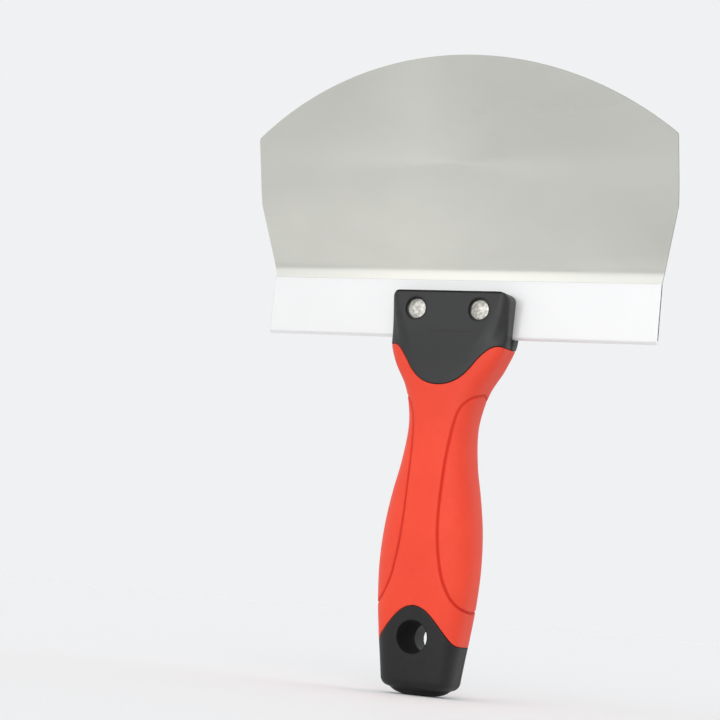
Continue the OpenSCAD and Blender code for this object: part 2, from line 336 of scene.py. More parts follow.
# ------------------------------------------------------------------ surface extraction
def surface(f, xs, ys, zs, steps=2):
    """A closed quad mesh on f = 0 over a box grid, drawn onto the true surface."""
    nx, ny, nz = len(xs), len(ys), len(zs)
    F = np.empty((nx, ny, nz), np.float32)
    X = xs[:, None, None].astype(np.float32)
    Y = ys[None, :, None].astype(np.float32)
    for k0 in range(0, nz, 48):
        Z = zs[None, None, k0:k0 + 48].astype(np.float32)
        x, y, z = np.broadcast_arrays(X, Y, Z)
        F[:, :, k0:k0 + 48] = f(x.copy(), y.copy(), z.copy())
    F[np.abs(F) < 1e-5] = 1e-5
    S = F < 0
    grid = [xs, ys, zs]
    dims = (nx - 1, ny - 1, nz - 1)
    cell_ids, cell_pts, quads = [], [], []
    for ax in range(3):
        b, c = (ax + 1) % 3, (ax + 2) % 3
        sl0 = [slice(None)] * 3
        sl1 = [slice(None)] * 3
        sl0[ax], sl1[ax] = slice(0, -1), slice(1, None)
        change = S[tuple(sl0)] != S[tuple(sl1)]
        idx = np.array(np.nonzero(change))
        f0 = F[tuple(sl0)][tuple(idx)]
        f1 = F[tuple(sl1)][tuple(idx)]
        t = f0 / (f0 - f1)
        p = np.empty((idx.shape[1], 3))
        for k in range(3):
            p[:, k] = grid[k][idx[k]]
        p[:, ax] += t * (grid[ax][idx[ax] + 1] - grid[ax][idx[ax]])
        ring = []
        for db, dc in ((0, 0), (-1, 0), (-1, -1), (0, -1)):
            q = idx.copy()
            q[b] += db
            q[c] += dc
            assert (q >= 0).all() and all((q[k] < dims[k]).all() for k in range(3))
            ring.append((q[0] * dims[1] + q[1]) * dims[2] + q[2])
        ring = np.array(ring).T
        ring[f0 > 0] = ring[f0 > 0][:, ::-1]
        quads.append(ring)
        for k in range(4):
            cell_ids.append(ring[:, k])
            cell_pts.append(p)
    ids = np.concatenate(cell_ids)
    pts = np.concatenate(cell_pts)
    uniq, inv = np.unique(ids, return_inverse=True)
    cnt = np.bincount(inv)
    V = np.c_[[np.bincount(inv, pts[:, k]) / cnt for k in range(3)]].T
    Q = np.searchsorted(uniq, np.concatenate(quads))
    h = 0.04
    for _ in range(steps):
        x, y, z = V.T.astype(np.float32)
        v = f(x, y, z)
        g = np.c_[f(x + h, y, z) - f(x - h, y, z), f(x, y + h, z) - f(x, y - h, z), f(x, y, z + h) - f(x, y, z - h)] / (2 * h)
        g2 = (g**2).sum(1)
        step = np.clip(v / np.maximum(g2, 0.25), -0.12, 0.12)
        V = V - step[:, None] * g
    return V, Q


def mesh_from(name, V, Q):
    me = bpy.data.meshes.new(name)
    me.vertices.add(len(V))
    me.vertices.foreach_set("co", (np.asarray(V) * MM).astype(np.float32).ravel())
    me.loops.add(Q.size)
    me.loops.foreach_set("vertex_index", Q.astype(np.int32).ravel())
    me.polygons.add(len(Q))
    me.polygons.foreach_set("loop_start", np.arange(0, Q.size, Q.shape[1], dtype=np.int32))
    me.polygons.foreach_set("loop_total", np.full(len(Q), Q.shape[1], np.int32))
    me.polygons.foreach_set("use_smooth", np.ones(len(Q), bool))
    me.update(calc_edges=True)
    me.validate()
    ob = bpy.data.objects.new(name, me)
    scene.collection.objects.link(ob)
    return ob


def spaced(*runs):
    """Joins runs of (start, end, step) into one rising list of grid lines."""
    out = []
    for lo, hi, st in runs:
        n = max(1, int(round((hi - lo) / st)))
        out.append(np.linspace(lo, hi, n, endpoint=False))
    out.append([runs[-1][1]])
    return np.concatenate(out)




def build_handle():
    hx = 0.3
    xs = spaced((-24.6, 24.6, hx))
    V, Q = surface(front_f, xs, spaced((-14.3, 6.4, 0.3)),
                   spaced((-3.5, 31, 0.3), (31, 107, 1.2), (107, 146.4, 0.28)))
    front = mesh_from("core_front_shell", V, Q)
    # the front half of the hang hole, where the black is painted darker as shade
    inside = (np.hypot(V[:, 0], V[:, 2] - 18.2) < 6.25) & (V[:, 1] < SPLIT)
    front.data.attributes.new("bore", "FLOAT", "POINT").data.foreach_set("value", inside.astype(np.float32))
    V, Q = surface(rear_f, xs, spaced((1.9, 13.3, 0.3)),
                   spaced((-3.5, 31, 0.3), (31, 107, 1.2), (107, 146.4, 0.28)))
    rear = mesh_from("core_rear_shell", V, Q)
    V, Q = surface(grip_f, spaced((-24.6, 24.6, 0.29)), spaced((-14.4, 13.5, 0.29)),
                   spaced((14.8, 126.6, 0.29)))
    grip = mesh_from("soft_grip", V, Q)
    gx, gy, gz = V.T.astype(np.float32)
    # painted shade along the grooves: this mask, stored as the 'groove' attribute, darkens the red in the grooves
    groove_painted_shade = np.exp(-(groove_d(gx, gy, gz) / 0.54) ** 6)
    grip.data.attributes.new("groove", "FLOAT", "POINT").data.foreach_set("value", groove_painted_shade.astype(np.float32))
    return front, rear, grip


front_shell, rear_shell, soft_grip = build_handle()
print("mesh sizes", [(o.name, len(o.data.polygons)) for o in (front_shell, rear_shell, soft_grip)])

# ------------------------------------------------------------------ blade
BLADE_Y = 3.85
BT = 0.5
BEND_R = 17.0
LEAN = math.radians(15)
BEND_L = BEND_R * LEAN
RISE, EDGE_R, BW = 78.9, 136.0, 84.98
CORNER = 1.8
BOW = 0.40                      # the sheet bows back a little between its bend and its edge


TILT0 = math.atan(BOW * 4 / RISE)
BN = 60
_t = (LEAN - TILT0) * (np.arange(BN + 1) / BN) ** 2.0
BEND_Y = -np.r_[0, np.cumsum((np.sin(_t[1:]) + np.sin(_t[:-1])) / 2)] * BEND_L / BN
BEND_Z = np.r_[0, np.cumsum((np.cos(_t[1:]) + np.cos(_t[:-1])) / 2)] * BEND_L / BN


def blade_half(v):
    """Half width of the blade at height v along the sheet, from the top of the bend."""
    return np.interp(v, [-40, -BEND_L, 0, 23.4, 30, 100], [78.70, 78.70, 79.55, 84.8, 85.0, 85.0])


def blade_top(x):
    cy = RISE - EDGE_R
    arc = cy + np.sqrt(EDGE_R**2 - np.minimum(abs(x), BW)**2)
    rx = BW - CORNER
    ry = cy + math.sqrt((EDGE_R - CORNER)**2 - rx**2)
    tx = rx * EDGE_R / (EDGE_R - CORNER)
    cor = ry + np.sqrt(np.maximum(CORNER**2 - np.maximum(abs(x) - rx, 0)**2, 0))
    return np.where(abs(x) > tx - 0.0, np.minimum(arc, cor), arc)


def sheet_point(x, v, off):
    """Point of the blade: x across, v along the sheet, off towards the front (-Y)."""
    if v >= 0:
        base_y = BLADE_Y + BEND_Y[-1]
        base_z = LIP + BEND_Z[-1]
        q = min(v / RISE, 1)
        back = BOW * 4 * q * (1 - q)
        tilt = math.atan(BOW * 4 * (1 - 2 * q) / RISE)
        ln = LEAN - tilt
        return (x, base_y - v * math.sin(LEAN) + back * math.cos(LEAN) - off * math.cos(ln),
                base_z + v * math.cos(LEAN) + back * math.sin(LEAN) - off * math.sin(ln))
    if v > -BEND_L:
        k = (v + BEND_L) / BEND_L * BN
        i = min(int(k), BN - 1)
        py, pz = (BEND_Y[i] + (BEND_Y[i + 1] - BEND_Y[i]) * (k - i), BEND_Z[i] + (BEND_Z[i + 1] - BEND_Z[i]) * (k - i))
        th = (LEAN - TILT0) * (k / BN) ** 2.0
        return (x, BLADE_Y + py - off * math.cos(th), LIP + pz - off * math.sin(th))
    return (x, BLADE_Y - off, LIP + v + BEND_L)


def build_blade():
    s = np.linspace(-1, 1, 121)
    us = np.sign(s) * (1 - (1 - abs(s)) ** 1.0)
    extra = 1 - np.array([0.0, 0.0008, 0.003, 0.0065, 0.011, 0.0165, 0.0215])
    us = np.unique(np.round(np.r_[us[(abs(us) < 0.975)], extra, -extra], 6))
    low = list(np.linspace(-BEND_L - 20.2, -BEND_L, 6)[:-1]) + list(np.linspace(-BEND_L, 0, 15)[:-1])
    fr = np.r_[0, 0.01, np.linspace(0.03, 1, 48)]
    bm = bmesh.new()
    grids = []
    for off in (BT / 2, -BT / 2):
        rows = []
        for v in low:
            w = float(blade_half(v))
            rows.append([bm.verts.new(Vector(sheet_point(u * w, v, off)) * MM) for u in us])
        tops = blade_top(us * BW)
        for k in fr:
            row = []
            for u, tp in zip(us, tops):
                v = k * tp
                w = float(blade_half(v))
                row.append(bm.verts.new(Vector(sheet_point(u * w, v, off)) * MM))
            rows.append(row)
        grids.append(rows)
    A, B = grids
    n, m = len(A), len(us)
    for i in range(n - 1):
        for j in range(m - 1):
            bm.faces.new((A[i][j], A[i][j + 1], A[i + 1][j + 1], A[i + 1][j]))
            bm.faces.new((B[i][j], B[i + 1][j], B[i + 1][j + 1], B[i][j + 1]))
    for i in range(n - 1):
        bm.faces.new((A[i][0], A[i + 1][0], B[i + 1][0], B[i][0]))
        bm.faces.new((A[i][m - 1], B[i][m - 1], B[i + 1][m - 1], A[i + 1][m - 1]))
    for j in range(m - 1):
        bm.faces.new((A[0][j], B[0][j], B[0][j + 1], A[0][j + 1]))
        bm.faces.new((A[n - 1][j], A[n - 1][j + 1], B[n - 1][j + 1], B[n - 1][j]))
    me = bpy.data.meshes.new("steel_blade")
    bm.normal_update()
    bm.to_mesh(me)
    bm.free()
    ob = bpy.data.objects.new("steel_blade", me)
    scene.collection.objects.link(ob)
    return ob


def cutter(name, x, r, y0, y1):
    bm = bmesh.new()
    bmesh.ops.create_cone(bm, cap_ends=True, segments=48, radius1=r * MM, radius2=r * MM, depth=(y1 - y0) * MM)
    bmesh.ops.transform(bm, matrix=Matrix.Translation((x * MM, (y0 + y1) / 2 * MM, RIV_Z * MM)) @ Matrix.Rotation(math.pi / 2, 4, "X"), verts=bm.verts)
    me = bpy.data.meshes.new(name)
    bm.to_mesh(me)
    bm.free()
    ob = bpy.data.objects.new(name, me)
    scene.collection.objects.link(ob)
    return ob


def apply_mods(ob):
    deps = bpy.context.evaluated_depsgraph_get()
    me = bpy.data.meshes.new_from_object(ob.evaluated_get(deps))
    old = ob.data
    ob.modifiers.clear()
    ob.data = me
    me.name = old.name
    bpy.data.meshes.remove(old)


def drill(ob, bevel):
    cuts = [cutter("cut", s * RIV_X, 2.1, -2, 9) for s in (-1, 1)]
    for c in cuts:
        b = ob.modifiers.new("hole", "BOOLEAN")
        b.object = c
        b.operation = "DIFFERENCE"
        b.solver = "EXACT"
    apply_mods(ob)
    for c in cuts:
        me = c.data
        bpy.data.objects.remove(c)
        bpy.data.meshes.remove(me)
    if bevel:
        b = ob.modifiers.new("edge", "BEVEL")
        b.width = bevel * MM
        b.segments = 2
        b.limit_method = "ANGLE"
        b.angle_limit = math.radians(50)
        apply_mods(ob)


def shade(ob, angle=30):
    """Smooth everywhere but across sharp edges."""
    me = ob.data
    bm = bmesh.new()
    bm.from_mesh(me)
    lim = math.radians(angle)
    for f in bm.faces:
        f.smooth = True
    for e in bm.edges:
        e.smooth = not (len(e.link_faces) == 2 and e.calc_face_angle(0) > lim)
        if any(len(f.verts) > 12 for f in e.link_faces):
            e.smooth = False
    bm.to_mesh(me)
    bm.free()


steel_blade = build_blade()
drill(steel_blade, 0.0)
shade(steel_blade, 35)


# ------------------------------------------------------------------ holder
def build_holder():
    r = 1.25
    t = 1.0
    top = LIP
    c = 0.22
    prof = [(HOLD_Y0, HOLD_Z + r)]
    prof += [(HOLD_Y0, z) for z in np.linspace(HOLD_Z + r, top - c, 8)[1:]]
    prof += [(HOLD_Y0 + c - c * math.cos(a), top - c + c * math.sin(a)) for a in np.linspace(0, math.pi / 2, 6)[1:]]
    e = 0.1
    prof += [(HOLD_Y0 + t - e + e * math.sin(a), top - e + e * math.cos(a)) for a in np.linspace(0, math.pi / 2, 4)]
    prof += [(HOLD_Y0 + t, HOLD_Z + 1.7)]
    prof += [(HOLD_Y1 - t, HOLD_Z + 1.7)]
    prof += [(HOLD_Y1 - t + e - e * math.sin(a), top - e + e * math.cos(a)) for a in np.linspace(math.pi / 2, 0, 4)]
    prof += [(HOLD_Y1 - c + c * math.sin(a), top - c + c * math.cos(a)) for a in np.linspace(0, math.pi / 2, 6)]
    prof += [(HOLD_Y1, z) for z in np.linspace(top - c, HOLD_Z + r, 8)[1:]]
    mid = (HOLD_Y0 + HOLD_Y1) / 2
    prof += [(mid + r * math.cos(a), HOLD_Z + r - r * math.sin(a)) for a in np.linspace(0, math.pi, 17)[1:-1]]
    xs = np.r_[-78.75, -78.4, np.linspace(-78, 78, 62), 78.4, 78.75]
    bm = bmesh.new()
    rows = [[bm.verts.new(Vector((x, y, z)) * MM) for y, z in prof] for x in xs]
    n = len(prof)
    for i in range(len(xs) - 1):
        for j in range(n):
            k = (j + 1) % n
            bm.faces.new((rows[i][j], rows[i][k], rows[i + 1][k], rows[i + 1][j]))
    bm.faces.new(rows[0][::-1])
    bm.faces.new(rows[-1])
    bmesh.ops.recalc_face_normals(bm, faces=bm.faces)
    me = bpy.data.meshes.new("folded_holder")
    bm.to_mesh(me)
    bm.free()
    ob = bpy.data.objects.new("folded_holder", me)
    scene.collection.objects.link(ob)
    b = ob.modifiers.new("edge", "BEVEL")
    b.width = 0.14 * MM
    b.segments = 3
    b.limit_method = "ANGLE"
    b.angle_limit = math.radians(60)
    apply_mods(ob)
    return ob


folded_holder = build_holder()
drill(folded_holder, 0.0)
shade(folded_holder, 35)


# ------------------------------------------------------------------ rivets
def build_rivet(name, x, seed):
    """A struck rivet: domed head with uneven flats, shank, and formed rear head."""
    rng = np.random.default_rng(seed)
    r = 3.65
    dome = 0.6
    cap = (r * r + dome * dome) / (2 * dome)
    prof = []
    for q in np.linspace(0, 1, 26):
        rr = r * q * 0.955
        prof.append((rr, -5.2 - dome + cap - math.sqrt(cap * cap - rr * rr)))
    y_edge = prof[-1][1]
    for a in np.linspace(0, math.pi / 2, 6)[1:]:
        prof.append((r * 0.955 + 0.165 * math.sin(a), y_edge + 0.165 * (1 - math.cos(a))))
    prof += [(r, -5.1), (r, -5.0), (r - 0.06, -4.9), (2.6, -4.9), (2.0, -4.9), (2.0, -1.0), (2.0, 2.0), (2.0, 5.0), (2.0, 7.6), (2.6, 7.6), (r - 0.06, 7.6), (r, 7.72), (r, 7.9)]
    y2 = 8.1 + dome - cap + math.sqrt(cap * cap - (r * 0.955) ** 2)
    for a in np.linspace(math.pi / 2, 0, 6)[:-1]:
        prof.append((r * 0.955 + 0.165 * math.sin(a), y2 - 0.165 * (1 - math.cos(a))))
    for q in np.linspace(1, 0, 26):
        rr = r * q * 0.955
        prof.append((rr, 8.1 + dome - cap + math.sqrt(cap * cap - rr * rr)))
    n = 72
    dents = [(rng.uniform(-2.4, 2.4), rng.uniform(-2.4, 2.4), rng.uniform(0.7, 1.7), rng.uniform(-0.10, 0.04)) for _ in range(11)]
    bm = bmesh.new()
    rows = []
    for rr, y in prof:
        row = []
        cnt = 1 if rr < 1e-6 else n
        for k in range(cnt):
            a = 2 * math.pi * k / n
            px, pz = rr * math.cos(a), rr * math.sin(a)
            yy = y
            if y < -5.05 or y > 7.75:
                w = sum(h * math.exp(-((px - dx) ** 2 + (pz - dz) ** 2) / s**2) for dx, dz, s, h in dents)
                w += 0.035 * math.sin(2.1 * px + 1.3 * dents[0][0]) * math.sin(1.7 * pz + dents[1][0])
                edge = max(0.0, min(1.0, (r - rr) / 0.8))
                w *= edge
                yy = y - w if y < 0 else y + w
                yy = max(yy, -6.1) if y < 0 else min(yy, 8.75)
            wob = 1 + (0.012 * math.sin(3 * a + seed) + 0.008 * math.sin(5 * a + 2 * seed)) * (1 if rr > 2.2 else 0)
            row.append(bm.verts.new(Vector((x + px * min(wob, 1.0), yy, RIV_Z + pz * min(wob, 1.0))) * MM))
        rows.append(row)
    for A, B in zip(rows[:-1], rows[1:]):
        if len(A) == 1:
            for k in range(n):
                bm.faces.new((A[0], B[k], B[(k + 1) % n]))
        elif len(B) == 1:
            for k in range(n):
                bm.faces.new((A[k], B[0], A[(k + 1) % n]))
        else:
            for k in range(n):
                bm.faces.new((A[k], B[k], B[(k + 1) % n], A[(k + 1) % n]))
    bmesh.ops.recalc_face_normals(bm, faces=bm.faces)
    me = bpy.data.meshes.new(name)
    bm.to_mesh(me)
    bm.free()
    ob = bpy.data.objects.new(name, me)
    scene.collection.objects.link(ob)
    shade(ob, 50)
    return ob


rivet_l = build_rivet("rivet_head_left", -RIV_X, 5)
rivet_r = build_rivet("rivet_head_right", RIV_X, 11)


# ------------------------------------------------------------------ materials
class Mat:
    """A small helper round one node material."""

    def __init__(self, name):
        self.m = bpy.data.materials.new(name)
        self.m.use_nodes = True
        self.t = self.m.node_tree
        self.p = self.t.nodes["Principled BSDF"]
        self.co = self.t.nodes.new("ShaderNodeTexCoord").outputs["Object"]

    def node(self, kind, **props):
        n = self.t.nodes.new(kind)
        for k, v in props.items():
            setattr(n, k, v)
        return n

    def link(self, a, b):
        self.t.links.new(a, b)

    def scaled(self, sx, sy, sz):
        n = self.node("ShaderNodeMapping")
        n.inputs["Scale"].default_value = (sx, sy, sz)
        self.link(self.co, n.inputs["Vector"])
        return n.outputs["Vector"]

    def noise(self, vec, scale, detail=3.0, rough=0.5, dist=0.0):
        n = self.node("ShaderNodeTexNoise")
        n.inputs["Scale"].default_value = scale
        n.inputs["Detail"].default_value = detail
        n.inputs["Roughness"].default_value = rough
        n.inputs["Distortion"].default_value = dist
        self.link(vec, n.inputs["Vector"])
        return n.outputs["Fac"]

    def remap(self, fac, a, b, lo=0.0, hi=1.0):
        n = self.node("ShaderNodeMapRange")
        n.inputs["From Min"].default_value = lo
        n.inputs["From Max"].default_value = hi
        n.inputs["To Min"].default_value = a
        n.inputs["To Max"].default_value = b
        self.link(fac, n.inputs["Value"])
        return n.outputs["Result"]

    def math(self, op, a, b):
        n = self.node("ShaderNodeMath", operation=op)
        for i, v in enumerate((a, b)):
            if isinstance(v, (int, float)):
                n.inputs[i].default_value = v
            else:
                self.link(v, n.inputs[i])
        return n.outputs[0]

    def ramp(self, fac, stops):
        n = self.node("ShaderNodeValToRGB")
        el = n.color_ramp.elements
        while len(el) < len(stops):
            el.new(0.5)
        for e, (pos, col) in zip(el, stops):
            e.position = pos
            e.color = (*col, 1)
        self.link(fac, n.inputs["Fac"])
        return n.outputs["Color"]

    def mix(self, fac, a, b, mode="MIX"):
        n = self.node("ShaderNodeMix", data_type="RGBA", blend_type=mode)
        for sock, v in ((n.inputs["Factor"], fac), (n.inputs[6], a), (n.inputs[7], b)):
            if isinstance(v, (int, float)):
                sock.default_value = v
            elif isinstance(v, tuple):
                sock.default_value = (*v, 1)
            else:
                self.link(v, sock)
        return n.outputs[2]

    def bump(self, height, strength, dist, after=None):
        n = self.node("ShaderNodeBump")
        n.inputs["Strength"].default_value = strength
        n.inputs["Distance"].default_value = dist
        self.link(height, n.inputs["Height"])
        if after is not None:
            self.link(after, n.inputs["Normal"])
        return n.outputs["Normal"]

    def set(self, name, v):
        s = self.p.inputs[name]
        if isinstance(v, (int, float)):
            s.default_value = v
        elif isinstance(v, tuple):
            s.default_value = (*v, 1)
        else:
            self.link(v, s)


def red_material():
    m = Mat("red_soft_grip")
    big = m.noise(m.co, 55, 3, 0.55)
    mid = m.noise(m.co, 420, 3, 0.6)
    fine = m.noise(m.co, 5200, 2, 0.6)
    col = m.ramp(big, [(0.3, (0.78, 0.051, 0.019)), (0.7, (0.835, 0.062, 0.0232))])
    col = m.mix(m.remap(mid, 0.0, 0.25, 0.35, 0.75), col, (0.75, 0.044, 0.018))
    groove = m.node("ShaderNodeAttribute", attribute_name="groove")
    # painted shade: the 'groove' attribute darkens the red in the grooves, and also takes away their gloss and sheen
    col = m.mix(groove.outputs["Fac"], col, (0.46, 0.003, 0.001))
    place = m.node("ShaderNodeSeparateXYZ")
    m.link(m.co, place.inputs[0])
    # painted shade: the red is mixed towards a darker red below about 0.1 m up the handle
    col = m.mix(m.remap(place.outputs["Z"], 0.0, 0.45, 0.082, 0.108), col, (0.66, 0.040, 0.015))
    m.set("Base Color", col)
    m.set("Roughness", m.remap(fine, 0.50, 0.66, 0.3, 0.7))
    m.set("Specular IOR Level", m.remap(groove.outputs["Fac"], 0.36, 0.05))
    m.set("Sheen Weight", m.remap(groove.outputs["Fac"], 0.07, 0.0))
    m.set("Sheen Roughness", 0.45)
    m.set("Subsurface Weight", 0.06)
    m.p.inputs["Subsurface Radius"].default_value = (1.0, 0.25, 0.15)
    m.set("Subsurface Scale", 0.0015)
    b = m.bump(fine, 0.35, 0.00005)
    b = m.bump(mid, 0.12, 0.00025, b)
    m.set("Normal", b)
    return m.m


def black_material():
    m = Mat("black_moulded_core")
    big = m.noise(m.co, 70, 3, 0.55)
    vor = m.node("ShaderNodeTexVoronoi", feature="SMOOTH_F1")
    vor.inputs["Scale"].default_value = 2600
    m.link(m.co, vor.inputs["Vector"])
    mid = m.noise(m.co, 520, 3, 0.6)
    fine = m.noise(m.co, 6500, 2, 0.6)
    col = m.ramp(big, [(0.3, (0.0085, 0.0088, 0.0090)), (0.7, (0.0125, 0.0125, 0.0122))])
    col = m.mix(m.remap(mid, 0.0, 0.45, 0.4, 0.75), col, (0.018, 0.018, 0.0175))
    height = m.node("ShaderNodeSeparateXYZ")
    m.link(m.co, height.inputs[0])
    # painted shade: the black turns near black in the lowest 3 mm, over the dome under the butt
    col = m.mix(m.remap(height.outputs["Z"], 1.0, 0.0, 0.0018, 0.0032), col, (0.003, 0.003, 0.003))
    # painted shade: inside the front half of the hang hole the black is darker still; the bore is also made rougher
    bore = m.node("ShaderNodeAttribute", attribute_name="bore")
    col = m.mix(bore.outputs["Fac"], col, (0.004, 0.004, 0.004))
    m.set("Base Color", col)
    m.set("Roughness", m.math("MAXIMUM", m.remap(mid, 0.38, 0.50, 0.3, 0.7), m.math("MULTIPLY", bore.outputs["Fac"], 0.8)))
    # painted shade: the gloss drops away in the top 0.7 mm, for a dark line along the yoke's top edge; the gloss also
    # falls off towards the bottom
    m.set("Specular IOR Level", m.math("MINIMUM", m.remap(height.outputs["Z"], 0.31, 0.5, 0.03, 0.11), m.remap(height.outputs["Z"], 0.5, 0.05, 0.1470, 0.1477)))
    b = m.bump(vor.outputs["Distance"], 0.30, 0.00006)
    b = m.bump(fine, 0.25, 0.00004, b)
    b = m.bump(mid, 0.10, 0.0002, b)
    m.set("Normal", b)
    return m.m


def steel_material():
    m = Mat("blade_spring_steel")
    cloud = m.noise(m.scaled(1, 1, 1.3), 26, 3, 0.55, 0.6)
    cloud2 = m.noise(m.scaled(1.0, 1, 1.0), 75, 4, 0.6, 0.3)
    grain = m.noise(m.scaled(1, 60, 60), 95, 3, 0.6)
    fine = m.noise(m.scaled(1, 25, 25), 620, 2, 0.6)
    col = m.ramp(cloud, [(0.3, (0.613, 0.611, 0.562)), (0.7, (0.658, 0.652, 0.600))])
    col = m.mix(m.remap(cloud2, 0.0, 0.35, 0.35, 0.8), col, (0.595, 0.586, 0.536))
    col = m.mix(m.remap(grain, 0.0, 0.18, 0.3, 0.7), col, (0.69, 0.685, 0.640))
    place = m.node("ShaderNodeSeparateXYZ")
    m.link(m.co, place.inputs[0])
    # painted reflection and shade: the steel darkens with height and from side to side, more towards the left,
    # standing in for the blade's reflections
    painted_blade_shade = m.math("ADD", m.remap(place.outputs["Z"], 0.0, 0.70, 0.165, 0.225), m.math("MULTIPLY", m.remap(place.outputs["X"], 0.0, 1.0, -0.02, 0.085), m.remap(place.outputs["Z"], 0.45, 1.0, 0.1575, 0.164)))
    left = m.math("MULTIPLY", m.remap(place.outputs["X"], 0.55, 0.0, -0.065, -0.015), m.remap(place.outputs["Z"], 0.0, 1.0, 0.175, 0.205))
    painted_blade_shade = m.math("MINIMUM", m.math("ADD", painted_blade_shade, left), 1.2)
    col = m.mix(painted_blade_shade, col, (0.50, 0.502, 0.462))
    # painted shade: the bend darkens towards both ends of the blade
    bend_end_shade = m.math("MULTIPLY", m.remap(m.math("ABSOLUTE", place.outputs["X"], 0.0), 0.0, 0.55, 0.02, 0.078), m.remap(place.outputs["Z"], 1.0, 0.0, 0.1575, 0.1595))
    col = m.mix(bend_end_shade, col, (0.50, 0.50, 0.475))
    # painted shade on the blade's edges: they are darker than the faces, and darker still below the holder's lip; the
    # edges are also made rougher
    side = m.node("ShaderNodeVectorMath", operation="DOT_PRODUCT")
    m.link(m.node("ShaderNodeNewGeometry").outputs["True Normal"], side.inputs[0])
    side.inputs[1].default_value = (0, -0.966, -0.259)
    edge = m.remap(m.math("ABSOLUTE", side.outputs["Value"], 0.0), 1.0, 0.0, 0.3, 0.6)
    col = m.mix(edge, col, m.mix(m.remap(place.outputs["Z"], 0.0, 1.0, 0.1532, 0.1536), (0.50, 0.50, 0.48), (0.24, 0.24, 0.23)))
    m.set("Base Color", col)
    m.set("Metallic", 1.0)
    r = m.math("ADD", m.remap(cloud, 0.29, 0.36, 0.3, 0.7), m.remap(fine, -0.03, 0.03, 0.3, 0.7))
    m.set("Roughness", m.math("ADD", r, m.math("MULTIPLY", edge, 0.2)))
    m.set("Anisotropic", 0.35)
    b = m.bump(grain, 0.06, 0.00002)
    b = m.bump(fine, 0.05, 0.00001, b)
    b = m.bump(cloud, 0.15, 0.0008, b)
    m.set("Normal", b)
    return m.m


def holder_material():
    m = Mat("holder_anodised_aluminium")
    cloud = m.noise(m.scaled(1, 1, 1), 40, 3, 0.55)
    grain = m.noise(m.scaled(1, 60, 60), 120, 3, 0.6)
    fine = m.noise(m.scaled(1, 20, 20), 900, 2, 0.6)
    col = m.ramp(cloud, [(0.3, (0.695, 0.694, 0.692)), (0.7, (0.725, 0.724, 0.722))])
    col = m.mix(m.remap(grain, 0.0, 0.2, 0.3, 0.7), col, (0.672, 0.671, 0.669))
    side = m.node("ShaderNodeSeparateXYZ")
    m.link(m.node("ShaderNodeNewGeometry").outputs["True Normal"], side.inputs[0])
    # painted light: faces turned along X, the holder's two end faces, are made nearly white
    cut = m.remap(m.math("ABSOLUTE", side.outputs["X"], 0.0), 0.0, 1.0, 0.6, 0.9)
    col = m.mix(cut, col, (0.93, 0.93, 0.93))
    # painted light: faces turned downwards, round the fold's bottom, are made lighter
    col = m.mix(m.remap(side.outputs["Z"], 1.0, 0.0, -0.8, -0.35), col, (0.80, 0.81, 0.82))
    m.set("Base Color", col)
    m.set("Metallic", 0.35)
    m.set("Roughness", m.math("ADD", m.remap(cloud, 0.30, 0.36, 0.3, 0.7), m.remap(fine, -0.03, 0.03, 0.3, 0.7)))
    b = m.bump(grain, 0.05, 0.00002)
    b = m.bump(fine, 0.05, 0.00001, b)
    m.set("Normal", b)
    return m.m


def rivet_material():
    m = Mat("rivet_nickel")
    blot = m.noise(m.co, 900, 3, 0.6, 0.4)
    mid = m.noise(m.co, 2600, 3, 0.6)
    col = m.ramp(blot, [(0.36, (0.30, 0.285, 0.25)), (0.48, (0.46, 0.45, 0.41)), (0.62, (0.56, 0.55, 0.52))])
    m.set("Base Color", col)
    m.set("Metallic", 1.0)
    m.set("Roughness", m.remap(mid, 0.22, 0.42, 0.3, 0.7))
    b = m.bump(mid, 0.25, 0.00006)
    b = m.bump(blot, 0.30, 0.00015, b)
    m.set("Normal", b)
    return m.m


def give(ob, mat):
    ob.data.materials.clear()
    ob.data.materials.append(mat)


give(soft_grip, red_material())
blk = black_material()
give(front_shell, blk)
give(rear_shell, blk)
give(steel_blade, steel_material())
give(folded_holder, holder_material())
rm = rivet_material()
give(rivet_l, rm)
give(rivet_r, rm)

for ob in (soft_grip, front_shell, rear_shell, steel_blade, folded_holder, rivet_l, rivet_r):
    ob.data.transform(Matrix.Translation((0, 0, PAD_H * MM)))
    ob.data.update()

for ob, node, slot in ((soft_grip, "grip", "red_grip"), (front_shell, "core_front", "black_plastic"),
                       (rear_shell, "core_rear", "black_plastic"), (steel_blade, "blade", "blade_steel"),
                       (folded_holder, "blade_holder", "holder_aluminium"), (rivet_l, "rivet_left", "rivet_metal"),
                       (rivet_r, "rivet_right", "rivet_metal")):
    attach(ob, "root")
    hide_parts(node)


# ------------------------------------------------------------------ stage, light, camera
FLOOR = 0.908
SKY_LOW, SKY_HIGH = 0.880, 0.80
PANELS = [(-4, 8, 36, 17, 8, 1.0), (-26, 16, 6, 30, 4, 3.0), (-64, 10, 15, 50, 7, -0.45), (-120, 25, 28, 30, 10, 0.12)]
SUN, SUN_FROM = 0.20, (-0.1, -0.3, 1.0)


